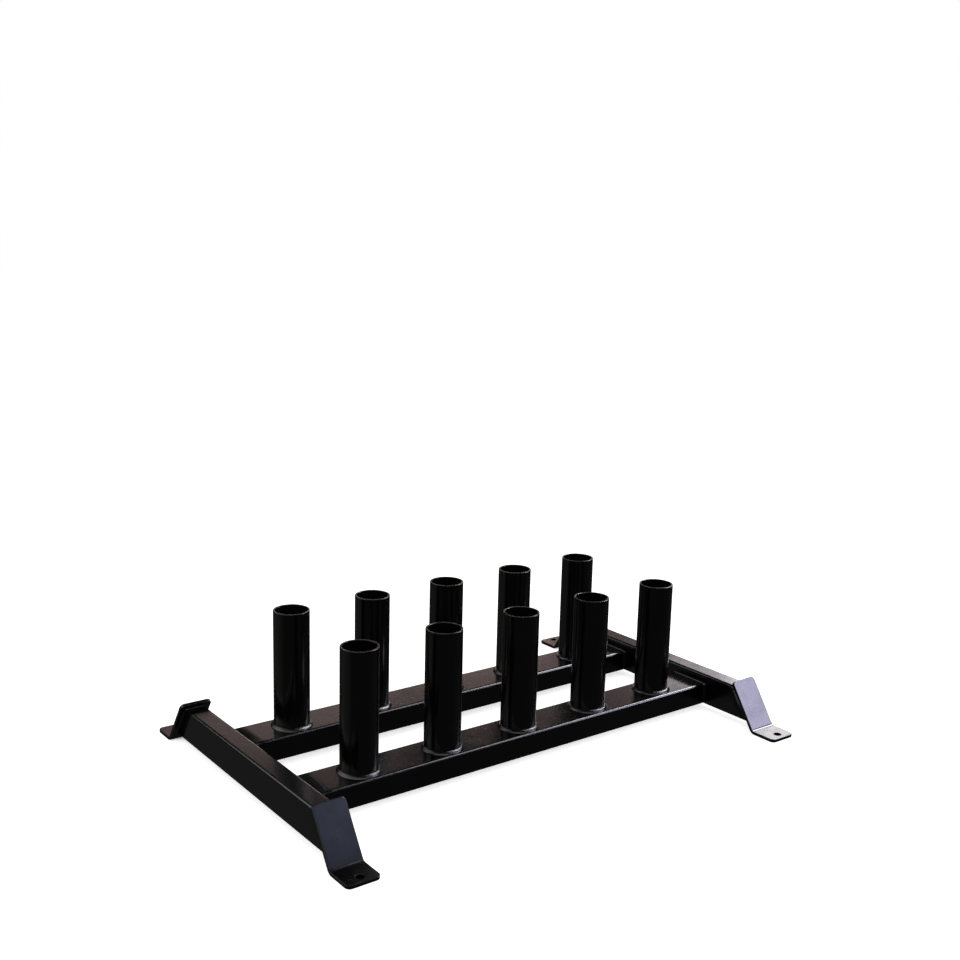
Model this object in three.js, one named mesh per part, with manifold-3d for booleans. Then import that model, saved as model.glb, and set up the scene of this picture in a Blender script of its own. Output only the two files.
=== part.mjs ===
// Barbell storage rack: a low welded base that holds bars upright, one in each round socket.
// Two long rails carry the sockets, an end rail crosses them at each side, and four bent feet stand on
// the floor. Millimetres, +Z up, X along the rack, -Y to the front. The origin is on the floor under
// the middle of the base.
import * as THREE from "three";
import { mergeVertices } from "three/addons/utils/BufferGeometryUtils.js";
import Module from "manifold-3d";

const wasm = await Module();
wasm.setup();

// Sockets: round tubes that stand on the long rails, open at the top.
const socketsPerRow = 5;
const socketPitch = 165;
const socketDiameter = 63.5;
const socketWall = 3;
const socketHeight = 211;
const socketEdgeBreak = 0.6;

// Rubber discs on the floor of the sockets, which the bars stand on.
const discThickness = 8;
const discClearance = 0.5;
const discEdgeBreak = 1;

// Long rails: wide box-section tube under each row of sockets, its ends against the end rails.
const rowSpacing = 225;
const longRailWidth = 82;
const longRailHeight = 42;
const longRailWall = 2.5;
const longRailEndMargin = 108; // from the outermost socket's centre to the end rail

// End rails: upright box-section tube across the ends, cut at the lean of the feet.
const endRailWidth = 38;
const endRailHeight = 60;
const endRailWall = 2.5;
const endRailOverhang = 81; // past the outer face of a long rail, along the top
const railCornerRadius = 5;
const floorClearance = 14; // under all four rails

// Feet: flat bar, a leaning plate that closes the end rail, bent into a pad on the floor.
const footThickness = 6;
const footSideOverhang = 10; // past each side of the end rail
const footRise = 13; // of the plate's top edge above the end rail
const footLean = THREE.MathUtils.degToRad(34); // of the plate, from upright
const footBendRadius = 8; // inside the bend
const footPadLength = 50; // from the bend's inner corner line to the pad's end
const footTopCornerRadius = 8;
const footPadCornerRadius = 9;
const boltHoleDiameter = 14;
const boltHoleInset = 15; // from the pad's end to the hole's centre

const weldGap = 0.3; // between an end rail's slanted cut and its foot
const cutOverrun = 5; // of cutting shapes past what they cut

const roundSegments = 40;
const cornerSegments = 4;

const longRailLength = (socketsPerRow - 1) * socketPitch + 2 * longRailEndMargin;
const endRailTopLength = rowSpacing + longRailWidth + 2 * endRailOverhang;
const endRailPlace = (longRailLength + endRailWidth) / 2;
const footWidth = endRailWidth + 2 * footSideOverhang;

const rows = { front: -1, rear: 1 };
const ends = { left: -1, right: 1 };

const X = new THREE.Vector3(1, 0, 0);
const Y = new THREE.Vector3(0, 1, 0);
const Z = new THREE.Vector3(0, 0, 1);

const powderCoat = () =>
  new THREE.MeshStandardMaterial({ color: 0x17171a, roughness: 0.4, metalness: 0.2 });
const rubber = () =>
  new THREE.MeshStandardMaterial({ color: 0x1c1c1c, roughness: 0.85, metalness: 0 });

// A closed geometry as a solid that can be cut and joined.
function solidOf(geometry) {
  const bare = geometry.clone();
  bare.deleteAttribute("normal");
  bare.deleteAttribute("uv");
  const merged = mergeVertices(bare);
  return new wasm.Manifold(
    new wasm.Mesh({
      numProp: 3,
      vertProperties: merged.attributes.position.array,
      triVerts: new Uint32Array(merged.index.array),
    }),
  );
}

// A solid back as a geometry.
function geometryOf(solid) {
  const mesh = solid.getMesh();
  const geometry = new THREE.BufferGeometry();
  geometry.setAttribute("position", new THREE.BufferAttribute(mesh.vertProperties, 3));
  geometry.setIndex(new THREE.BufferAttribute(mesh.triVerts, 1));
  geometry.computeVertexNormals();
  return geometry;
}

// A shape drawn in the plane of the directions right and up, extruded by depth to both sides of it.
function extrudeAcross(shape, depth, right, up) {
  const geometry = new THREE.ExtrudeGeometry(shape, {
    depth,
    bevelEnabled: false,
    curveSegments: cornerSegments,
  });
  geometry.translate(0, 0, -depth / 2);
  const out = new THREE.Vector3().crossVectors(right, up);
  geometry.applyMatrix4(new THREE.Matrix4().makeBasis(right, up, out));
  return geometry;
}

// A corner of an outline: an arc about (x, y) from one angle to the next, or a point where it is sharp.
function addCorner(outline, x, y, radius, quarter) {
  const start = (quarter * Math.PI) / 2;
  if (radius > 0) outline.absarc(x, y, radius, start, start + Math.PI / 2, false);
  else outline.lineTo(x, y);
}

// A rectangle about the origin with rounded corners.
function roundedRectangle(width, height, radius, outline) {
  const x = width / 2 - radius;
  const y = height / 2 - radius;
  addCorner(outline, x, y, radius, 0);
  addCorner(outline, -x, y, radius, 1);
  addCorner(outline, -x, -y, radius, 2);
  addCorner(outline, x, -y, radius, 3);
  outline.closePath();
  return outline;
}

// The section of a box-section tube.
function tubeSection(width, height, wall) {
  const section = roundedRectangle(width, height, railCornerRadius, new THREE.Shape());
  const innerRadius = Math.max(railCornerRadius - wall, 0);
  const bore = roundedRectangle(width - 2 * wall, height - 2 * wall, innerRadius, new THREE.Path());
  section.holes.push(bore);
  return section;
}

// A strip about the axis x = 0 from y = -reach to y = end, with its two corners at the end rounded.
function roundEndedStrip(width, reach, end, radius) {
  const strip = new THREE.Shape();
  strip.moveTo(-width / 2, -reach);
  strip.lineTo(width / 2, -reach);
  addCorner(strip, width / 2 - radius, end - radius, radius, 0);
  addCorner(strip, radius - width / 2, end - radius, radius, 1);
  strip.closePath();
  return strip;
}

// A ring or disc turned about +Z from a closed profile of [radius, height] points.
function turned(profile) {
  const points = profile.map(([radius, height]) => new THREE.Vector2(radius, height));
  const geometry = new THREE.LatheGeometry(points, roundSegments);
  geometry.rotateX(Math.PI / 2);
  return geometry;
}

function socketGeometry() {
  const outer = socketDiameter / 2;
  const inner = outer - socketWall;
  const edge = Math.min(socketEdgeBreak, socketWall / 2);
  return turned([
    [inner, 0],
    [outer, 0],
    [outer, socketHeight - edge],
    [outer - edge, socketHeight],
    [inner + edge, socketHeight],
    [inner, socketHeight - edge],
    [inner, 0],
  ]);
}

function discGeometry() {
  const radius = socketDiameter / 2 - socketWall - discClearance;
  const edge = Math.min(discEdgeBreak, discThickness / 2);
  return turned([
    [0, 0],
    [radius, 0],
    [radius, discThickness - edge],
    [radius - edge, discThickness],
    [0, discThickness],
  ]);
}

function longRailGeometry() {
  const section = tubeSection(longRailWidth, longRailHeight, longRailWall);
  return extrudeAcross(section, longRailLength, Y, Z);
}

// How far from the middle of the rack the foot's leaning back face is at a height above the floor.
function footBackAt(height) {
  const railTop = floorClearance + endRailHeight;
  return endRailTopLength / 2 + (railTop - height) * Math.tan(footLean);
}

// The tube is cut at both ends along the leaning backs of the feet. Its origin is its middle.
function endRailGeometry() {
  const section = tubeSection(endRailWidth, endRailHeight, endRailWall);
  const bottom = floorClearance - cutOverrun;
  const top = floorClearance + endRailHeight + cutOverrun;
  const middle = (bottom + top) / 2;
  const gap = weldGap / Math.cos(footLean);
  const side = new THREE.Shape();
  side.moveTo(-footBackAt(bottom) + gap, bottom - middle);
  side.lineTo(footBackAt(bottom) - gap, bottom - middle);
  side.lineTo(footBackAt(top) - gap, top - middle);
  side.lineTo(-footBackAt(top) + gap, top - middle);
  side.closePath();
  const tube = solidOf(extrudeAcross(section, 2 * footBackAt(bottom), X, Z));
  const between = solidOf(extrudeAcross(side, endRailWidth + 2 * cutOverrun, Y, Z));
  return geometryOf(tube.intersect(between));
}

// A foot that points to +Y. Its origin is on the floor, in the middle of the rack along Y.
function footGeometry() {
  const topZ = floorClearance + endRailHeight + footRise;
  const normal = new THREE.Vector2(Math.cos(footLean), Math.sin(footLean));
  const faceShift = footThickness / Math.cos(footLean);
  const faceAt = (height) => footBackAt(height) + faceShift;

  // The pad's top and the plate's face meet in the corner line, which the bend rounds.
  const cornerY = faceAt(footThickness);
  const bendTurn = Math.PI / 2 - footLean;
  const bendY = cornerY + footBendRadius * Math.tan(bendTurn / 2);
  const bendZ = footThickness + footBendRadius;
  const padEnd = cornerY + footPadLength;
  const plateSide = Math.PI + footLean;
  const padSide = (Math.PI * 3) / 2;

  const profile = new THREE.Shape();
  profile.moveTo(padEnd, 0);
  profile.lineTo(padEnd, footThickness);
  profile.absarc(bendY, bendZ, footBendRadius, padSide, plateSide, true);
  profile.lineTo(faceAt(topZ), topZ);
  profile.lineTo(faceAt(topZ) - normal.x * footThickness, topZ - normal.y * footThickness);
  profile.absarc(bendY, bendZ, footBendRadius + footThickness, plateSide, padSide, false);
  profile.closePath();
  const bar = solidOf(extrudeAcross(profile, footWidth, Y, Z));

  // Seen from above, the pad's end has rounded corners.
  const fromAbove = roundEndedStrip(footWidth, 0, padEnd, footPadCornerRadius);
  const padTrim = solidOf(extrudeAcross(fromAbove, 2 * (topZ + cutOverrun), X, Y));

  // Seen square to the plate, its top edge has rounded corners.
  const up = new THREE.Vector3(0, -Math.sin(footLean), Math.cos(footLean));
  const squareOn = roundEndedStrip(footWidth, topZ + footPadLength, 0, footTopCornerRadius);
  const plateTrim = extrudeAcross(squareOn, 2 * (padEnd + cutOverrun), X, up);
  plateTrim.translate(0, faceAt(topZ), topZ);

  const holeHeight = footThickness + 2 * cutOverrun;
  const hole = new THREE.CylinderGeometry(
    boltHoleDiameter / 2,
    boltHoleDiameter / 2,
    holeHeight,
    roundSegments,
  );
  hole.rotateX(Math.PI / 2);
  hole.translate(0, padEnd - boltHoleInset, footThickness / 2);

  const foot = bar.intersect(padTrim).intersect(solidOf(plateTrim)).subtract(solidOf(hole));
  return geometryOf(foot);
}

function piece(name, geometry, material, parent) {
  const mesh = new THREE.Mesh(geometry, material);
  mesh.name = name;
  parent.add(mesh);
  return mesh;
}

const rack = new THREE.Group();

const socketShape = socketGeometry();
const discShape = discGeometry();
const longRailShape = longRailGeometry();
for (const [rowName, rowSide] of Object.entries(rows)) {
  const row = new THREE.Group();
  row.position.set(0, (rowSide * rowSpacing) / 2, floorClearance);
  rack.add(row);
  const rail = piece(`long_rail_${rowName}`, longRailShape, powderCoat(), row);
  rail.position.z = longRailHeight / 2;
  for (let i = 0; i < socketsPerRow; i++) {
    const place = (i - (socketsPerRow - 1) / 2) * socketPitch;
    const socket = piece(`socket_${rowName}_${i + 1}`, socketShape, powderCoat(), row);
    socket.position.set(place, 0, longRailHeight);
    const disc = piece(`socket_disc_${rowName}_${i + 1}`, discShape, rubber(), row);
    disc.position.set(place, 0, longRailHeight);
  }
}

const endRailShape = endRailGeometry();
const footShape = footGeometry();
for (const [endName, endSide] of Object.entries(ends)) {
  const end = new THREE.Group();
  end.position.x = endSide * endRailPlace;
  rack.add(end);
  const rail = piece(`end_rail_${endName}`, endRailShape, powderCoat(), end);
  rail.position.z = floorClearance + endRailHeight / 2;
  for (const [rowName, rowSide] of Object.entries(rows)) {
    const foot = piece(`foot_${rowName}_${endName}`, footShape, powderCoat(), end);
    foot.rotation.z = rowSide < 0 ? Math.PI : 0;
  }
}

export default rack;
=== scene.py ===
import math

import bmesh
import bpy
from mathutils import Matrix, Vector, noise
from mathutils.geometry import tessellate_polygon


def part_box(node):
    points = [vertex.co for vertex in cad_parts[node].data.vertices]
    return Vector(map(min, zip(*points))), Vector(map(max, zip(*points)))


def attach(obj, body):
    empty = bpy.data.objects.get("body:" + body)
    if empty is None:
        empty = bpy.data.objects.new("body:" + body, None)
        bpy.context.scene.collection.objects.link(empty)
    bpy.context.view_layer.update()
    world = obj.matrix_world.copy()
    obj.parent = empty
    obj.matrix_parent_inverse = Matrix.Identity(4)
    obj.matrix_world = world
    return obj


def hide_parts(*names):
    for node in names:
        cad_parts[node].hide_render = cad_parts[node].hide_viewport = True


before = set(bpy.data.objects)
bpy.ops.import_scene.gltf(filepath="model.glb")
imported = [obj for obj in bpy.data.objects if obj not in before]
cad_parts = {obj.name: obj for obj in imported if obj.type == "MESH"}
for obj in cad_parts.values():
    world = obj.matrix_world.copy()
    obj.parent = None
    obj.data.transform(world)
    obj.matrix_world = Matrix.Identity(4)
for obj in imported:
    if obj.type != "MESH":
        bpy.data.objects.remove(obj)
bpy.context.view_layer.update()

# The looks of the barbell storage rack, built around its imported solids. Metres, floor at z = 0.

scene = bpy.context.scene

ROWS = {"front": -1, "rear": 1}
ENDS = {"left": -1, "right": 1}
SOCKETS_PER_ROW = 5

# Sizes that the solids' boxes don't give, as in the part's source.
RAIL_CORNER = 0.005
RAIL_WALL = 0.0025
SOCKET_WALL = 0.003
FOOT_THICKNESS = 0.006
FOOT_LEAN = math.radians(34)
FOOT_BEND_RADIUS = 0.008
FOOT_TOP_CORNER = 0.008
FOOT_PAD_CORNER = 0.009
BOLT_HOLE_RADIUS = 0.007
BOLT_HOLE_INSET = 0.015
WELD_GAP = 0.0003

# Radii of the eased edges.
SOCKET_RIM_EASE = 0.0008
FOOT_EDGE_EASE = 0.0008
BOLT_HOLE_EASE = 0.0006
DISC_EASE = 0.0014

# How far from an edge its wear fades out.
RAIL_WEAR_REACH = 0.003
RAIL_INSIDE_WEAR_REACH = 0.001
FOOT_WEAR_REACH = 0.0026

# Wear from 0 to 1: where a corner's curve starts, on the plate's cut edge, on the rims and on the discs.
CORNER_START_WEAR = 0.35
CUT_EDGE_CURVE_WEAR, CUT_EDGE_MIDDLE_WEAR = 0.6, 0.35
SOCKET_RIM_WEAR, BORE_RIM_WEAR = 0.6, 0.7
DISC_WEAR = 0.5

# Share of scuffs on each surface.
PAD_SCUFFS = 0.9
PLATE_SCUFFS = 0.15
BORE_SCUFFS = 0.5

# How finely each form is cut.
RAIL_CORNER_STEPS = 10
RAIL_INSIDE_CORNER_STEPS = 3
LONG_RAIL_STEPS = 24
END_RAIL_STEPS = 16
EASE_STEPS = 4
FOOT_EDGE_STEPS = 3
FOOT_CORNER_STEPS = 12
BOLT_HOLE_STEPS = 48
PAD_CUTS, BEND_CUTS, PLATE_CUTS = 6, 14, 8
CUT_TOLERANCE = 1e-7
SOCKET_STEPS = 128
DISC_STEPS = 96


# Camera, fitted to the photograph as a pinhole: pixels, millimetres of sensor, radians and metres.

PICTURE_SIDE = 960
FOCAL = 1214.8
CENTRE_X, CENTRE_Y = 473.77, 478.69
SENSOR_WIDTH = 36
YAW, PITCH, ROLL = math.radians(37.04), math.radians(11.295), math.radians(-1.39)
CAMERA_PLACE = (-1.29626, -1.68257, 0.90780)


def add_camera():
    ahead = Vector((math.sin(YAW) * math.cos(PITCH), math.cos(YAW) * math.cos(PITCH), -math.sin(PITCH)))
    right = Vector((math.cos(YAW), -math.sin(YAW), 0))
    down = ahead.cross(right)
    turned_right = math.cos(ROLL) * right + math.sin(ROLL) * down
    turned_down = math.cos(ROLL) * down - math.sin(ROLL) * right
    data = bpy.data.cameras.new("camera")
    data.sensor_width = SENSOR_WIDTH
    data.lens = FOCAL * SENSOR_WIDTH / PICTURE_SIDE
    data.shift_x = (PICTURE_SIDE / 2 - CENTRE_X) / PICTURE_SIDE
    data.shift_y = (CENTRE_Y - PICTURE_SIDE / 2) / PICTURE_SIDE
    data.dof.use_dof = False
    camera = bpy.data.objects.new("camera", data)
    axes = Matrix((turned_right, -turned_down, -ahead)).transposed().to_4x4()
    camera.matrix_world = Matrix.Translation(CAMERA_PLACE) @ axes
    scene.collection.objects.link(camera)
    scene.camera = camera


add_camera()


# Materials. Noise scales are per metre.

FACING_UP = (0.6, 0.98)


class Shader:
    """A material's node tree, with short ways to add and join nodes."""

    def __init__(self, name):
        self.material = bpy.data.materials.new(name)
        self.material.use_nodes = True
        self.tree = self.material.node_tree
        self.tree.nodes.clear()
        self.surface = self.node("ShaderNodeBsdfPrincipled")
        out = self.node("ShaderNodeOutputMaterial")
        self.tree.links.new(self.surface.outputs[0], out.inputs["Surface"])
        self.place = self.node("ShaderNodeTexCoord").outputs["Object"]

    def node(self, kind, **values):
        made = self.tree.nodes.new(kind)
        for key, value in values.items():
            setattr(made, key, value)
        return made

    def feed(self, target, value):
        if isinstance(value, bpy.types.NodeSocket):
            self.tree.links.new(value, target)
        else:
            target.default_value = value

    def noise(self, scale, detail, rough=0.5, stretch=None):
        place = self.place
        if stretch:
            mapping = self.node("ShaderNodeMapping")
            self.feed(mapping.inputs["Vector"], place)
            mapping.inputs["Scale"].default_value = stretch
            place = mapping.outputs[0]
        made = self.node("ShaderNodeTexNoise")
        self.feed(made.inputs["Vector"], place)
        made.inputs["Scale"].default_value = scale
        made.inputs["Detail"].default_value = detail
        made.inputs["Roughness"].default_value = rough
        return made.outputs["Fac"]

    def attribute(self, name):
        return self.node("ShaderNodeAttribute", attribute_name=name).outputs["Fac"]

    def math(self, operation, a, b):
        made = self.node("ShaderNodeMath", operation=operation)
        self.feed(made.inputs[0], a)
        self.feed(made.inputs[1], b)
        return made.outputs[0]

    def times(self, a, b):
        return self.math("MULTIPLY", a, b)

    def plus(self, a, b):
        return self.math("ADD", a, b)

    def ramp(self, value, low, high, to_low=0.0, to_high=1.0):
        made = self.node("ShaderNodeMapRange", interpolation_type="SMOOTHSTEP")
        sockets = ("Value", "From Min", "From Max", "To Min", "To Max")
        for key, setting in zip(sockets, (value, low, high, to_low, to_high)):
            self.feed(made.inputs[key], setting)
        return made.outputs[0]

    def blend(self, share, first, second):
        made = self.node("ShaderNodeMix", data_type="RGBA")
        self.feed(made.inputs["Factor"], share)
        for key, tint in (("A", first), ("B", second)):
            self.feed(made.inputs[key], (*tint, 1) if isinstance(tint, tuple) else tint)
        return made.outputs["Result"]

    def upward(self):
        """1 where the surface faces up, 0 on walls and undersides."""
        geometry = self.node("ShaderNodeNewGeometry")
        split = self.node("ShaderNodeSeparateXYZ")
        self.feed(split.inputs[0], geometry.outputs["Normal"])
        return self.ramp(split.outputs["Z"], *FACING_UP)

    def bump(self, layers):
        """Layers of (height, distance in metres), each over the one before it."""
        normal = None
        for height, distance in layers:
            made = self.node("ShaderNodeBump")
            made.inputs["Strength"].default_value = 1.0
            made.inputs["Distance"].default_value = distance
            self.feed(made.inputs["Height"], height)
            if normal:
                self.feed(made.inputs["Normal"], normal)
            normal = made.outputs[0]
        self.feed(self.surface.inputs["Normal"], normal)


# The coat's tints, and how strongly each kind of mark covers, roughens and dents it.
COAT_TINTS = ((0.0026, 0.0026, 0.0028), (0.0042, 0.0040, 0.0040))
GRAIN_TINT, GRAIN_DEPTH = (0.006, 0.006, 0.0065), 1e-6
DUST_TINT, DUST_COVER, DUST_ROUGH = (0.060, 0.054, 0.050), 0.08, 0.06
SCUFF_TINT, SCUFF_COVER, SCUFF_ROUGH, SCUFF_DEPTH = (0.11, 0.11, 0.112), 0.55, 0.10, 1.2e-5
RUBBED_TINT, RUBBED_COVER, RUBBED_ROUGH = (0.060, 0.058, 0.057), 0.22, 0.09
WAVE_DEPTH = 2.5e-5
GLOSS_DRIFT = (-0.02, 0.025)
CLOUD_ROUGH = 0.045


def powder_coat(name, scuffs, gloss=0.18, peel=9e-6):
    """Black satin powder coat: orange peel, slow drifts of gloss, dust, rubbed edges and scuffs."""
    s = Shader(name)
    drift = s.noise(7, 3)
    cloud = s.noise(38, 4, 0.6)
    grain = s.noise(2600, 1)
    ripple = s.noise(620, 2, 0.45)
    wave = s.noise(55, 1)

    # Rubbed edges: the wear attribute is 1 on an edge and fades out within a few millimetres.
    patches = s.ramp(s.noise(130, 3, 0.65), 0.46, 0.64)
    rubbed = s.ramp(s.times(s.attribute("wear"), patches), 0.30, 1.0)

    # Scuffs: long thin streaks, only in some places, and more of them on the pads.
    streaks = s.ramp(s.noise(420, 2, 0.6, (0.16, 1, 1)), 0.63, 0.72)
    crossing = s.ramp(s.noise(390, 2, 0.6, (1, 0.14, 1)), 0.65, 0.74)
    zones = s.ramp(s.noise(21, 2), 0.53, 0.66)
    marks = s.times(s.math("MAXIMUM", streaks, crossing), zones)
    marks = s.times(marks, s.plus(s.attribute("scuff"), scuffs))
    marks = s.math("MINIMUM", marks, 1.0)

    dust = s.times(s.upward(), s.ramp(s.noise(95, 5, 0.7), 0.40, 0.75))

    colour = s.blend(s.ramp(drift, 0.3, 0.7), *COAT_TINTS)
    colour = s.blend(s.ramp(grain, 0.62, 0.80, 0, 0.4), colour, GRAIN_TINT)
    colour = s.blend(s.times(dust, DUST_COVER), colour, DUST_TINT)
    colour = s.blend(s.times(marks, SCUFF_COVER), colour, SCUFF_TINT)
    colour = s.blend(s.times(rubbed, RUBBED_COVER), colour, RUBBED_TINT)
    s.feed(s.surface.inputs["Base Color"], colour)

    rough = s.ramp(drift, 0.3, 0.7, gloss + GLOSS_DRIFT[0], gloss + GLOSS_DRIFT[1])
    rough = s.plus(rough, s.ramp(cloud, 0.35, 0.7, 0, CLOUD_ROUGH))
    rough = s.plus(rough, s.times(dust, DUST_ROUGH))
    rough = s.plus(rough, s.times(marks, SCUFF_ROUGH))
    rough = s.plus(rough, s.times(rubbed, RUBBED_ROUGH))
    s.feed(s.surface.inputs["Roughness"], rough)
    s.surface.inputs["IOR"].default_value = 1.5
    dents = s.times(marks, -1.0)
    s.bump([(wave, WAVE_DEPTH), (ripple, peel), (grain, GRAIN_DEPTH), (dents, SCUFF_DEPTH)])
    return s.material


RUBBER_TINTS = ((0.010, 0.010, 0.010), (0.026, 0.026, 0.027))
RUBBER_BLOOM_TINT = (0.055, 0.052, 0.050)
RUBBER_WORN_TINT, RUBBER_WORN_COVER = (0.05, 0.05, 0.05), 0.4
RUBBER_ROUGHNESS = (0.72, 0.92)
CRUMB_SCALE, CRUMB_DEPTH, PIT_DEPTH = 520, 5e-4, 6e-5


def moulded_rubber(name):
    """Black recycled rubber: fine pits, crumbs of slightly different greys, rub marks."""
    s = Shader(name)
    crumbs = s.node("ShaderNodeTexVoronoi", feature="F1")
    s.feed(crumbs.inputs["Vector"], s.place)
    crumbs.inputs["Scale"].default_value = CRUMB_SCALE
    tint = s.node("ShaderNodeSeparateColor")
    s.feed(tint.inputs[0], crumbs.outputs["Color"])
    pits = s.noise(1500, 3, 0.6)
    drift = s.noise(60, 3)
    colour = s.blend(s.ramp(tint.outputs[0], 0.2, 0.95), *RUBBER_TINTS)
    colour = s.blend(s.ramp(drift, 0.45, 0.75, 0, 0.3), colour, RUBBER_BLOOM_TINT)
    colour = s.blend(s.times(s.attribute("wear"), RUBBER_WORN_COVER), colour, RUBBER_WORN_TINT)
    s.feed(s.surface.inputs["Base Color"], colour)
    s.feed(s.surface.inputs["Roughness"], s.ramp(pits, 0.3, 0.7, *RUBBER_ROUGHNESS))
    s.bump([(crumbs.outputs["Distance"], CRUMB_DEPTH), (pits, PIT_DEPTH)])
    return s.material


TUBE_COAT = powder_coat("powder_coat_tube", scuffs=0.05)
SOCKET_COAT = powder_coat("powder_coat_socket", scuffs=0.08)
PLATE_COAT = powder_coat("powder_coat_plate", scuffs=0.2, gloss=0.19, peel=1e-5)
WELD_COAT = powder_coat("powder_coat_weld", scuffs=0.0, gloss=0.16, peel=8e-6)
RUBBER = moulded_rubber("rubber")


# Mesh building.

def mesh_object(name, mesh, material):
    """A new object of the scene with a finished bmesh and its material."""
    data = bpy.data.meshes.new(name)
    mesh.to_mesh(data)
    mesh.free()
    data.materials.append(material)
    made = bpy.data.objects.new(name, data)
    scene.collection.objects.link(made)
    return made


class Body:
    """A mesh under construction, with the marks of wear and scuffs on its points."""

    def __init__(self, name):
        self.name = name
        self.mesh = bmesh.new()
        self.wear = self.mesh.verts.layers.float.new("wear")
        self.scuff = self.mesh.verts.layers.float.new("scuff")

    def point(self, place, wear=0.0, scuff=0.0):
        made = self.mesh.verts.new(place)
        made[self.wear] = wear
        made[self.scuff] = scuff
        return made

    def ring(self, middle, radius, height, steps, wear=0.0, scuff=0.0):
        """A level circle of points round middle."""
        points = []
        for i in range(steps):
            angle = 2 * math.pi * i / steps
            place = (middle.x + radius * math.cos(angle), middle.y + radius * math.sin(angle), height)
            points.append(self.point(place, wear, scuff))
        return points

    def tube(self, loops, closed):
        """Faces along a chain of closed loops, back to the first one where closed."""
        for first, second in zip(loops, loops[1:] + (loops[:1] if closed else [])):
            for i, corner in enumerate(first):
                j = (i + 1) % len(first)
                self.mesh.faces.new((corner, first[j], second[j], second[i]))

    def close_ring(self, outer, inner):
        """Faces between the two loops of a tube's end, which differ in their number of points."""
        edges = []
        for loop in (outer, inner):
            for i, vert in enumerate(loop):
                edges.append(self.mesh.edges.get((vert, loop[(i + 1) % len(loop)])))
        bmesh.ops.bridge_loops(self.mesh, edges=edges)

    def finish(self, material, replaced=None):
        """Puts the piece in the scene. One that replaces a solid has large flat faces, shaded evenly."""
        bmesh.ops.recalc_face_normals(self.mesh, faces=self.mesh.faces)
        for face in self.mesh.faces:
            face.smooth = True
        piece = mesh_object(self.name, self.mesh, material)
        if replaced:
            even = piece.modifiers.new("even_shading", "WEIGHTED_NORMAL")
            even.weight = 100
            even.keep_sharp = True
        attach(piece, "root")
        if replaced:
            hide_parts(replaced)


def arc(centre_x, centre_y, radius, start, turn, steps):
    """Points of an arc as (x, y, outward, share of the arc)."""
    found = []
    for i in range(steps + 1):
        angle = start + turn * i / steps
        out = (math.cos(angle), math.sin(angle))
        found.append((centre_x + radius * out[0], centre_y + radius * out[1], out, i / steps))
    return found


def eased_edge(steps):
    """The curve of an eased edge of radius 1, as the distances from its two faces."""
    angles = [math.pi / 2 * i / steps for i in range(steps + 1)]
    return [(1 - math.cos(angle), 1 - math.sin(angle)) for angle in angles]


def rounded_section(width, height, radius, steps, wear_reach=RAIL_WEAR_REACH):
    """A rounded rectangle as (x, y, outward, wear), with extra points where the wear of a corner ends."""
    x, y = width / 2 - radius, height / 2 - radius
    found = []
    for quarter, (cx, cy) in enumerate(((x, y), (-x, y), (-x, -y), (x, -y))):
        start = quarter * math.pi / 2
        corner = arc(cx, cy, radius, start, math.pi / 2, steps)
        first, last = corner[0], corner[-1]
        before = (first[0] + wear_reach * math.sin(start), first[1] - wear_reach * math.cos(start))
        after = (last[0] - wear_reach * math.cos(start), last[1] - wear_reach * math.sin(start))
        found.append((*before, first[2], 0.0))
        for px, py, out, share in corner:
            wear = CORNER_START_WEAR + (1 - CORNER_START_WEAR) * math.sin(math.pi * share)
            found.append((px, py, out, wear))
        found.append((*after, last[2], 0.0))
    return found


def centre_of(node):
    """The middle and the size of a solid's box."""
    low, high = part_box(node)
    return (low + high) / 2, high - low


def box_tube(name, node, width, height, steps, place):
    """A box-section tube. place(share of its length, across, up) gives the place of a point."""
    outer = rounded_section(width, height, RAIL_CORNER, RAIL_CORNER_STEPS)
    inner = rounded_section(
        width - 2 * RAIL_WALL, height - 2 * RAIL_WALL, RAIL_CORNER - RAIL_WALL,
        RAIL_INSIDE_CORNER_STEPS, RAIL_INSIDE_WEAR_REACH,
    )
    body = Body(name)
    skins = []
    for section in (outer, inner):
        loops = []
        for i in range(steps + 1):
            loops.append([body.point(place(i / steps, u, v), wear) for u, v, _, wear in section])
        body.tube(loops, False)
        skins.append(loops)
    for end in (0, -1):
        body.close_ring(skins[0][end], skins[1][end])
    body.finish(TUBE_COAT, node)


def long_rail(row):
    """Tube along x. Its ends lie against the end rails."""
    node = "long_rail_" + row
    middle, size = centre_of(node)

    def place(share, u, v):
        return middle.x + size.x * (share - 0.5), middle.y + u, middle.z + v

    box_tube("rail_" + row, node, size.y, size.z, LONG_RAIL_STEPS, place)


def end_rail(end, foot):
    """Tube along y, its ends cut along the leaning feet."""
    node = "end_rail_" + end
    middle, size = centre_of(node)

    def place(share, u, v):
        height = middle.z + v
        half = foot.back_at(height) - WELD_GAP / math.cos(FOOT_LEAN)
        return middle.x + u, (2 * share - 1) * half, height

    box_tube("end_" + end, node, size.x, size.z, END_RAIL_STEPS, place)


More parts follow.
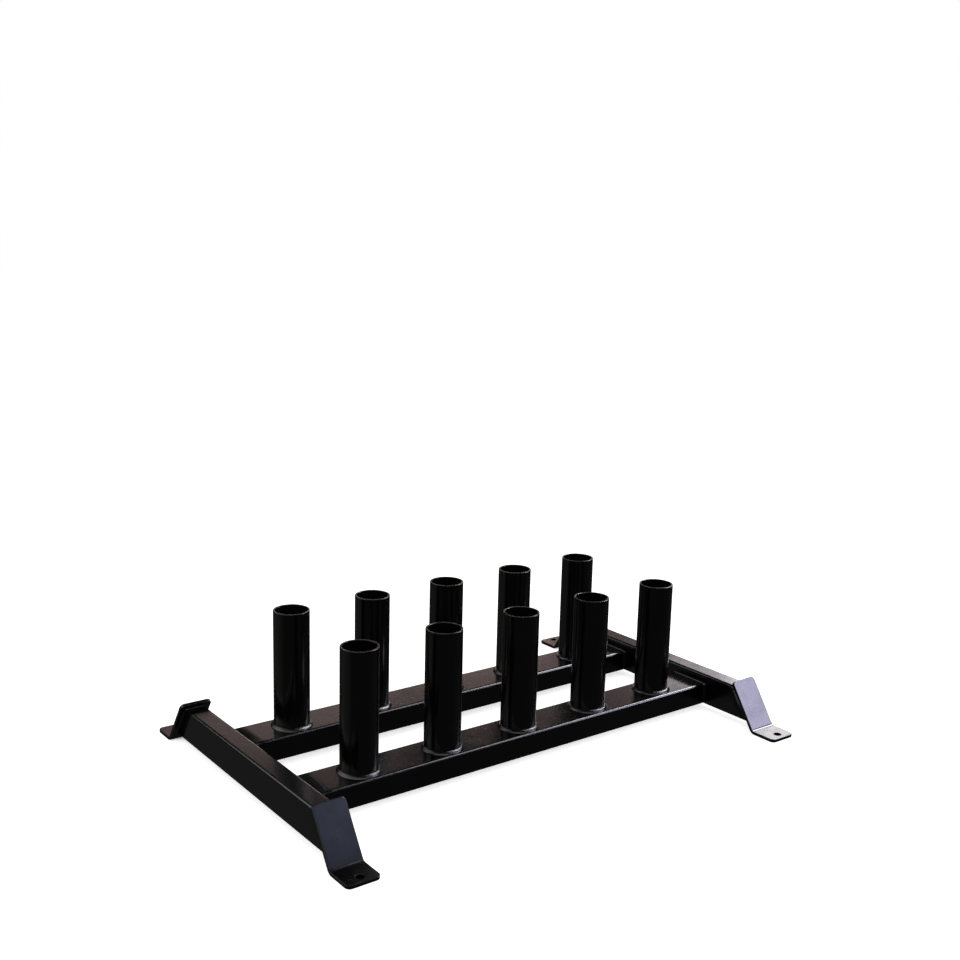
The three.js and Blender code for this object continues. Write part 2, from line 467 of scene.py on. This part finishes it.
class FootShape:
    """The sizes of a foot that points to +y, taken from the box of its solid."""

    def __init__(self):
        low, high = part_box("foot_rear_right")
        t, r = FOOT_THICKNESS, FOOT_BEND_RADIUS
        self.width = high.x - low.x
        self.top = high.z
        self.pad_end = high.y
        self.turn = math.pi / 2 - FOOT_LEAN
        self.face_top_y = low.y + t * math.cos(FOOT_LEAN)
        corner_y = self.face_top_y + (self.top - t) * math.tan(FOOT_LEAN)
        self.bend = (corner_y + r * math.tan(self.turn / 2), t + r)
        self.pad_flat = self.pad_end - self.bend[0]
        tangent_z = self.bend[1] - r * math.sin(FOOT_LEAN)
        self.plate_flat = (self.top - tangent_z) / math.cos(FOOT_LEAN)
        self.bend_flat = self.turn * (r + t / 2)
        self.length = self.pad_flat + self.bend_flat + self.plate_flat

    def back_at(self, height):
        """How far from the middle of the rack the leaning back face is at a height."""
        face = self.face_top_y + (self.top - height) * math.tan(FOOT_LEAN)
        return face - FOOT_THICKNESS / math.cos(FOOT_LEAN)

    def placed(self, along, depth):
        """(y, z) of a point of the flat strip, along from the pad's end, depth below the seen face."""
        t, r = FOOT_THICKNESS, FOOT_BEND_RADIUS
        if along <= self.pad_flat:
            return self.pad_end - along, t - depth
        radius = r + depth
        bent = min((along - self.pad_flat) / self.bend_flat, 1)
        angle = -math.pi / 2 - self.turn * bent
        y = self.bend[0] + radius * math.cos(angle)
        z = self.bend[1] + radius * math.sin(angle)
        rest = along - self.pad_flat - self.bend_flat
        if rest > 0:
            y -= rest * math.sin(FOOT_LEAN)
            z += rest * math.cos(FOOT_LEAN)
        return y, z

    def outline(self, inset):
        """The outline of the flat strip, moved inwards, as (across, along)."""
        half = self.width / 2 - inset
        low, high = inset, self.length - inset
        pad, top = FOOT_PAD_CORNER - inset, FOOT_TOP_CORNER - inset
        corners = (
            (half - pad, low + pad, pad, -math.pi / 2),
            (half - top, high - top, top, 0),
            (top - half, high - top, top, math.pi / 2),
            (pad - half, low + pad, pad, math.pi),
        )
        found = []
        for corner in corners:
            found += [(x, y) for x, y, _, _ in arc(*corner, math.pi / 2, FOOT_CORNER_STEPS)]
        return found


def bolt_hole_outline(inset):
    """The outline of the bolt hole, moved into the metal, as (across, along)."""
    circle = arc(0, BOLT_HOLE_INSET, BOLT_HOLE_RADIUS + inset, 0, 2 * math.pi, BOLT_HOLE_STEPS)
    return [(x, y) for x, y, _, _ in circle[:-1]]


def edge_profile(ease):
    """(inset, depth, wear) across a cut edge of the plate, from the seen face to the back."""
    curve = []
    for from_face, from_edge in eased_edge(FOOT_EDGE_STEPS):
        wear = 1 - (1 - CUT_EDGE_CURVE_WEAR) * from_edge
        curve.append((ease * from_edge, ease * from_face, wear))
    seen = [(FOOT_WEAR_REACH, 0.0, 0.0), *curve]
    back = [(inset, FOOT_THICKNESS - depth, wear) for inset, depth, wear in reversed(seen)]
    return [*seen, (0.0, FOOT_THICKNESS / 2, CUT_EDGE_MIDDLE_WEAR), *back]


def foot_piece(row, end, foot):
    """A flat strip with rounded corners and a bolt hole, cut across finely at the bend, then bent."""
    node = f"foot_{row}_{end}"
    side = ROWS[row]
    body = Body(f"foot_plate_{row}_{end}")
    middle, _ = centre_of(node)
    rims = []
    for outline, ease in ((foot.outline, FOOT_EDGE_EASE), (bolt_hole_outline, BOLT_HOLE_EASE)):
        loops = []
        for inset, depth, wear in edge_profile(ease):
            loops.append([body.point((x, along, -depth), wear) for x, along in outline(inset)])
        body.tube(loops, False)
        rims.append(loops)
    for face in (0, -1):
        outer, inner = rims[0][face], rims[1][face]
        both = outer + inner
        for a, b, c in tessellate_polygon([[v.co for v in outer], [v.co for v in inner]]):
            body.mesh.faces.new((both[a], both[b], both[c]))

    # The pad's first cut is left out, because it would graze the bolt hole.
    plate_start = foot.pad_flat + foot.bend_flat
    cuts = [foot.pad_flat + foot.bend_flat * i / BEND_CUTS for i in range(BEND_CUTS + 1)]
    cuts += [foot.pad_flat * i / PAD_CUTS for i in range(2, PAD_CUTS)]
    cuts += [plate_start + foot.plate_flat * i / PLATE_CUTS for i in range(1, PLATE_CUTS)]
    for cut in cuts:
        everything = body.mesh.verts[:] + body.mesh.edges[:] + body.mesh.faces[:]
        bmesh.ops.bisect_plane(
            body.mesh, geom=everything, dist=CUT_TOLERANCE, plane_co=(0, cut, 0), plane_no=(0, 1, 0),
        )
    for vert in body.mesh.verts:
        x, along, depth = vert.co.x, vert.co.y, -vert.co.z
        y, z = foot.placed(along, depth)
        vert[body.scuff] = PAD_SCUFFS if along < foot.pad_flat else PLATE_SCUFFS
        vert.co = (middle.x - side * x, side * y, z)
    body.finish(PLATE_COAT, node)


# Wear along a socket's two faces, as (distance from the foot or the rim, wear).
OUTSIDE_FOOT, OUTSIDE_RIM = ((0.0, 0.2), (0.02, 0.0)), ((0.05, 0.0), (0.004, 0.0))
BORE_RIM, BORE_FOOT = ((0.006, 0.35), (0.04, 0.1)), ((0.02, 0.0), (0.0, 0.0))


def socket(node):
    """Round tube, open at the top, its rim eased inside and out."""
    middle, size = centre_of(node)
    outer = size.x / 2
    inner = outer - SOCKET_WALL
    low, high = middle.z - size.z / 2, middle.z + size.z / 2
    ease = SOCKET_RIM_EASE

    # (radius, height, wear) up the outside, over the rim and down the bore.
    curve = eased_edge(EASE_STEPS)
    outside = [(outer, low + up, wear) for up, wear in OUTSIDE_FOOT]
    outside += [(outer, high - down, wear) for down, wear in OUTSIDE_RIM]
    for across, down in curve:
        outside.append((outer - ease * across, high - ease * down, SOCKET_RIM_WEAR))
    bore = []
    for across, down in reversed(curve):
        bore.append((inner + ease * across, high - ease * down, BORE_RIM_WEAR))
    bore += [(inner, high - down, wear) for down, wear in BORE_RIM]
    bore += [(inner, low + up, wear) for up, wear in BORE_FOOT]

    body = Body("tube_" + node)
    loops = []
    for side, scuff in ((outside, 0.0), (bore, BORE_SCUFFS)):
        for radius, height, wear in side:
            loops.append(body.ring(middle, radius, height, SOCKET_STEPS, wear, scuff))
    body.tube(loops, True)
    body.finish(SOCKET_COAT, node)


# The disc's moulded ring and the flat inside it, as (share of the radius, depth).
DISC_RING = ((0.86, 0.0), (0.84, 0.0006), (0.78, 0.0006), (0.76, 0.0), (0.4, 0.0), (0.15, 0.0))
DISC_WORN_DEPTH = 0.001


def disc(number):
    """Rubber disc with a rounded top edge and a shallow moulded ring."""
    node = "socket_disc_" + number
    middle, size = centre_of(node)
    radius = size.x / 2
    low, high = middle.z - size.z / 2, middle.z + size.z / 2
    profile = [(radius, low), (radius, high - DISC_EASE)]
    for across, down in eased_edge(EASE_STEPS)[1:]:
        profile.append((radius - DISC_EASE * across, high - DISC_EASE * down))
    profile += [(radius * share, high - depth) for share, depth in DISC_RING]
    body = Body("rubber_disc_" + number)
    loops = []
    for r, height in profile:
        wear = DISC_WEAR if height > high - DISC_WORN_DEPTH else 0.0
        loops.append(body.ring(middle, r, height, DISC_STEPS, wear))
    body.tube(loops, False)
    for loop, height in ((loops[0], low), (loops[-1], high)):
        tip = body.point((middle.x, middle.y, height))
        for i, vert in enumerate(loop):
            body.mesh.faces.new((vert, loop[(i + 1) % DISC_STEPS], tip))
    body.finish(RUBBER, node)


# Weld beads. The ripples are crescents that lag at the toes, and no two beads are alike.

SOCKET_WELD_LEG = 0.0056
SQUARE_WELD_LEG = 0.0032
SOCKET_WELD_STEPS = 420
WELD_STEP = 0.0004
WELD_CORNER_STEPS = 8
WELD_POINTS_ACROSS = 9
WELD_ROOT_DEPTH = 0.0004
RIPPLE_PITCH = 0.0027
RIPPLE_HEIGHT, RIPPLE_HOLLOW = 0.085, 0.045
RIPPLE_LAG = 0.45
RIPPLE_UNEVENNESS, RIPPLE_NOISE_SCALE, RIPPLE_NOISE_ROW = 0.18, 210, 7.1
LEG_UNEVENNESS, LEG_NOISE_SCALE, LEG_NOISE_ROW = 0.10, 60, 0.3
TAPER_START, TAPER_LENGTH = 0.25, 0.004
HOLLOW_FACE = 1.6


def unevenness(along, seed, scale, row):
    """Slow noise along a bead, another one for each seed and row."""
    return noise.noise(Vector((along * scale, seed, row)))


def bead(name, path, leg, closed, seed):
    """A fillet weld. The points of path are (corner, along the first face, along the second face)."""
    places = [step[0] for step in path]
    count = len(places)
    run, total = [0.0], 0.0
    for i in range(1, count + (1 if closed else 0)):
        total += (places[i % count] - places[i - 1]).length
        run.append(total)
    waves = round(total / RIPPLE_PITCH)
    body = Body(name)
    loops = []
    for along, (corner, first, second) in zip(run, path):
        drift = 1 + LEG_UNEVENNESS * unevenness(along, seed, LEG_NOISE_SCALE, LEG_NOISE_ROW)
        wobble = RIPPLE_UNEVENNESS * unevenness(along, seed, RIPPLE_NOISE_SCALE, RIPPLE_NOISE_ROW)
        taper = 1.0
        if not closed:
            reach = max(min(along, total - along), 0)
            taper = min(1.0, TAPER_START + (1 - TAPER_START) * math.sqrt(reach / TAPER_LENGTH))
        loop = []
        for k in range(WELD_POINTS_ACROSS):
            t = k / (WELD_POINTS_ACROSS - 1)
            lag = RIPPLE_LAG * (1 - (2 * t - 1) ** 2)
            phase = (waves * along / total + lag + wobble) % 1.0
            ripple = RIPPLE_HEIGHT * math.sqrt(max(1 - (2 * phase - 1) ** 2, 0)) - RIPPLE_HOLLOW
            angle = math.pi / 2 * t
            size = leg * drift * taper * (1 + ripple * math.sin(2 * angle) ** 0.5)
            a, b = math.cos(angle) ** HOLLOW_FACE, math.sin(angle) ** HOLLOW_FACE
            loop.append(body.point(corner + first * (size * a) + second * (size * b)))
        loop.append(body.point(corner - (first + second).normalized() * WELD_ROOT_DEPTH))
        loops.append(loop)
    body.tube(loops, closed)
    if not closed:
        for loop in (loops[0], loops[-1]):
            body.mesh.faces.new(loop)
    body.finish(WELD_COAT)


def socket_weld(node, seed):
    middle, size = centre_of(node)
    foot_of_tube = Vector((middle.x, middle.y, middle.z - size.z / 2))
    path = []
    for i in range(SOCKET_WELD_STEPS):
        angle = 2 * math.pi * i / SOCKET_WELD_STEPS + seed
        out = Vector((math.cos(angle), math.sin(angle), 0))
        path.append((foot_of_tube + out * (size.x / 2), out, Vector((0, 0, 1))))
    bead("weld_" + node, path, SOCKET_WELD_LEG, True, seed)


def square_weld(name, width, height, place, seed):
    """Over a tube's top and down both sides. place(across, up, outward) gives a step of the path."""
    section = rounded_section(width, height, RAIL_CORNER, WELD_CORNER_STEPS)
    low = RAIL_CORNER - height / 2
    outline = [
        (width / 2, low, (1.0, 0.0), 0),
        *section[:len(section) // 2],
        (-width / 2, low, (-1.0, 0.0), 0),
    ]
    path = []
    for (ax, ay, aout, _), (bx, by, bout, _) in zip(outline, outline[1:]):
        count = max(round(math.hypot(bx - ax, by - ay) / WELD_STEP), 1)
        for i in range(count):
            share = i / count
            out = Vector(aout).lerp(Vector(bout), share).normalized()
            path.append(place(ax + (bx - ax) * share, ay + (by - ay) * share, out))
    x, y, out, _ = outline[-1]
    path.append(place(x, y, Vector(out)))
    bead(name, path, SQUARE_WELD_LEG, False, seed)


def rail_weld(row, end, seed):
    """Where a long rail meets an end rail."""
    middle, size = centre_of("long_rail_" + row)
    side = ENDS[end]
    face = middle.x + side * size.x / 2

    def place(u, v, out):
        corner = Vector((face, middle.y + u, middle.z + v))
        return corner, Vector((-side, 0, 0)), Vector((0, out.x, out.y))

    square_weld(f"weld_rail_{row}_{end}", size.y, size.z, place, seed)


def foot_weld(row, end, foot, seed):
    """Where an end rail meets the back of a foot."""
    middle, size = centre_of("end_rail_" + end)
    side = ROWS[row]
    lean_up = Vector((0, -side * math.sin(FOOT_LEAN), math.cos(FOOT_LEAN)))

    def place(u, v, out):
        height = middle.z + v
        corner = Vector((middle.x + u, side * foot.back_at(height), height))
        second = (Vector((1, 0, 0)) * out.x + lean_up * out.y).normalized()
        return corner, Vector((0, -side, 0)), second

    square_weld(f"weld_foot_{row}_{end}", size.x, size.z, place, seed)


def add_rack():
    """All pieces. The seeds differ from weld to weld, and have no other meaning."""
    foot = FootShape()
    for row, side in ROWS.items():
        long_rail(row)
        for i in range(SOCKETS_PER_ROW):
            number = f"{row}_{i + 1}"
            socket("socket_" + number)
            disc(number)
            socket_weld("socket_" + number, 1.7 * i + 3.1 * side)
    for end, end_side in ENDS.items():
        end_rail(end, foot)
        for row, side in ROWS.items():
            seed = 5.3 * end_side + 2.9 * side
            foot_piece(row, end, foot)
            foot_weld(row, end, foot, seed)
            rail_weld(row, end, seed + 11)


add_rack()


# Floor, backdrop and light.

STAGE_REACH = 9.0
FLOOR_STEPS, BACKDROP_STEPS, HOLE_SHADE_STEPS = 96, (64, 32), 32
FLOOR_DROP = 0.0003
# Painted shade discs under the bolt holes: how far below the floor they lie and how far past each hole
# they reach.
HOLE_SHADE_DROP = 0.0001
HOLE_SHADE_MARGIN = 0.004
PAPER_ROUGHNESS, PAPER_SHEEN = 0.9, 0.1
FLOOR_TINT = (0.82, 0.82, 0.82)
FLOOR_GLOW = 0.86
# Painted shade under the rails and pads: occlusion reach and samples, and the openness over which the
# floor's glow fades to dark.
PAINTED_SHADE_REACH, PAINTED_SHADE_SAMPLES = 0.03, 12
PAINTED_SHADE_OPENNESS = (0.05, 0.16)
# Painted shade: the near-black tint of the discs under the bolt holes.
PAINTED_HOLE_SHADE_TINT = (0.004, 0.004, 0.004)
ROOM_TINT = (0.97, 1.0, 0.96)
ROOM_BRIGHT_SIDE = (-0.82, 0.47, -0.33)
ROOM_FACING, ROOM_STRENGTH = (0.75, 1.0), (0.045, 0.110)


def plain(name, colour, glow=0.0):
    material = bpy.data.materials.new(name)
    material.use_nodes = True
    surface = material.node_tree.nodes["Principled BSDF"]
    surface.inputs["Base Color"].default_value = (*colour, 1)
    surface.inputs["Roughness"].default_value = PAPER_ROUGHNESS
    surface.inputs["Specular IOR Level"].default_value = PAPER_SHEEN
    surface.inputs["Emission Color"].default_value = (1, 1, 1, 1)
    surface.inputs["Emission Strength"].default_value = glow
    return material


def map_range(tree, source, target):
    """A node that turns one span of values into another."""
    made = tree.nodes.new("ShaderNodeMapRange")
    for key, setting in zip(("From Min", "From Max", "To Min", "To Max"), (*source, *target)):
        made.inputs[key].default_value = setting
    return made


def floor_paper_with_painted_shade():
    """White paper that glows a little, with painted shade: the glow fades to dark in the narrow gaps
    under the rails and pads.
    """
    material = plain("floor_paper_with_painted_shade", FLOOR_TINT)
    tree = material.node_tree
    # Painted shade: ambient occlusion dims the floor's glow where the rails and pads close over it.
    openness = tree.nodes.new("ShaderNodeAmbientOcclusion")
    openness.samples = PAINTED_SHADE_SAMPLES
    openness.inputs["Distance"].default_value = PAINTED_SHADE_REACH
    glow = map_range(tree, PAINTED_SHADE_OPENNESS, (0.0, FLOOR_GLOW))
    glow.interpolation_type = "SMOOTHSTEP"
    tree.links.new(openness.outputs["AO"], glow.inputs["Value"])
    tree.links.new(glow.outputs[0], tree.nodes["Principled BSDF"].inputs["Emission Strength"])
    return material


def add_stage():
    mesh = bmesh.new()
    bmesh.ops.create_circle(mesh, cap_ends=True, radius=STAGE_REACH, segments=FLOOR_STEPS)
    floor = mesh_object("floor", mesh, floor_paper_with_painted_shade())
    floor.location.z = -FLOOR_DROP

    mesh = bmesh.new()
    around, upward = BACKDROP_STEPS
    bmesh.ops.create_uvsphere(mesh, u_segments=around, v_segments=upward, radius=STAGE_REACH)
    backdrop = mesh_object("backdrop", mesh, plain("backdrop_paper", (0, 0, 0), 1.0))
    for paper in (floor, backdrop):
        paper.visible_glossy = False
        paper.visible_diffuse = False
    backdrop.visible_shadow = False


def add_painted_hole_shades():
    """Painted shade: near-black discs laid on the floor under the bolt holes of the pads, seen only
    through those holes.
    """
    dark = plain("painted_hole_shade", PAINTED_HOLE_SHADE_TINT)
    for row, side in ROWS.items():
        for end in ENDS:
            middle, size = centre_of(f"foot_{row}_{end}")
            pad_end = middle.y + side * size.y / 2
            mesh = bmesh.new()
            radius = BOLT_HOLE_RADIUS + HOLE_SHADE_MARGIN
            bmesh.ops.create_circle(mesh, cap_ends=True, radius=radius, segments=HOLE_SHADE_STEPS)
            hole = mesh_object(f"painted_shade_disc_{row}_{end}", mesh, dark)
            hole.location = (middle.x, pad_end - side * BOLT_HOLE_INSET, -HOLE_SHADE_DROP)


def add_world():
    """A dim room, brightest on one side, which shows only as a faint sheen in the coat."""
    world = bpy.data.worlds.new("room")
    world.use_nodes = True
    tree = world.node_tree
    background = tree.nodes["Background"]
    background.inputs["Color"].default_value = (*ROOM_TINT, 1)
    coord = tree.nodes.new("ShaderNodeTexCoord")
    toward = tree.nodes.new("ShaderNodeVectorMath")
    toward.operation = "DOT_PRODUCT"
    toward.inputs[1].default_value = ROOM_BRIGHT_SIDE
    strength = map_range(tree, ROOM_FACING, ROOM_STRENGTH)
    tree.links.new(coord.outputs["Generated"], toward.inputs[0])
    tree.links.new(toward.outputs["Value"], strength.inputs["Value"])
    tree.links.new(strength.outputs[0], background.inputs["Strength"])
    scene.world = world


# Soft boxes: azimuth from +x toward +y and elevation, each from and to in degrees, and radiance.
SOFT_BOXES = {
    "key_right": ((-15, 8), (29, 50), (25.0, 24.6, 26.0)),
    "strip_front": ((-45, -30), (12, 28), (9.4, 9.0, 12.7)),
    "strip_front_upper": ((-45, -30), (28, 62), (5.0, 5.0, 5.4)),
    "strip_top": ((-30, 8), (50, 62), (5.0, 5.0, 5.2)),
    "fill_front": ((-75, -60), (28, 37), (1.05, 1.15, 1.8)),
    "wall_right": ((15, 29.7), (11, 27), (5.6, 5.45, 5.7)),
    "wall_right_edge": ((29.7, 36), (13, 21), (2.3, 2.15, 2.25)),
    "wall_back": ((34, 61), (12, 20.5), (0.50, 0.35, 0.35)),
    "wall_back_left": ((61, 90), (12, 26), (0.56, 0.41, 0.40)),
    "wall_back_low": ((46, 75), (4, 12), (2.5, 2.0, 1.75)),
    "wall_left": ((120, 185), (14, 54), (1.8, 1.8, 1.8)),
    "wall_behind": ((190, 275), (14, 54), (1.2, 1.2, 1.2)),
    "ceiling": ((0, 50), (65, 115), (0.8, 0.8, 0.8)),
}
SOFT_BOX_REACH = 2.6
SOFT_BOX_TARGET = Vector((0, 0, 0.1))

OVERHEAD_SPREAD = math.radians(110)
OVERHEAD_TILT = (math.radians(14), math.radians(12), 0)
OVERHEAD_ENERGY = 0.38
FLOOR_OVERHEAD_ENERGY = 1.7


def soft_box_width(span):
    """The width of a flat box that spans an angle in degrees."""
    return 2 * SOFT_BOX_REACH * math.tan(math.radians(span[1] - span[0]) / 2)


def add_soft_box(name, azimuth, elevation, radiance):
    """A flat rectangle of light that faces the rack, seen in reflections only."""
    turn = math.radians(sum(azimuth) / 2)
    rise = math.radians(sum(elevation) / 2)
    away = Vector((math.cos(rise) * math.cos(turn), math.cos(rise) * math.sin(turn), math.sin(rise)))
    strength = max(radiance)
    data = bpy.data.lights.new(name, "AREA")
    data.shape = "RECTANGLE"
    data.size = math.cos(rise) * soft_box_width(azimuth)
    data.size_y = soft_box_width(elevation)
    data.energy = strength * math.pi * data.size * data.size_y
    data.color = [part / strength for part in radiance]
    light = bpy.data.objects.new(name, data)
    light.location = SOFT_BOX_TARGET + away * SOFT_BOX_REACH
    light.rotation_euler = away.to_track_quat("Z", "Y").to_euler()
    light.visible_diffuse = False
    light.visible_camera = False
    scene.collection.objects.link(light)


def add_overhead(name, energy):
    """A wide soft light from above, which no surface mirrors."""
    data = bpy.data.lights.new(name, "SUN")
    data.energy = energy
    data.angle = OVERHEAD_SPREAD
    light = bpy.data.objects.new(name, data)
    light.rotation_euler = OVERHEAD_TILT
    light.visible_glossy = False
    scene.collection.objects.link(light)
    return light


def add_lights():
    add_overhead("overhead", OVERHEAD_ENERGY)
    over_floor = add_overhead("overhead_floor", FLOOR_OVERHEAD_ENERGY)
    lit = bpy.data.collections.new("lit_paper")
    lit.objects.link(bpy.data.objects["floor"])
    over_floor.light_linking.receiver_collection = lit
    for name, (azimuth, elevation, radiance) in SOFT_BOXES.items():
        add_soft_box(name, azimuth, elevation, radiance)


add_stage()
add_painted_hole_shades()
add_world()
add_lights()
scene.view_settings.view_transform = "Standard"
scene.view_settings.look = "None"
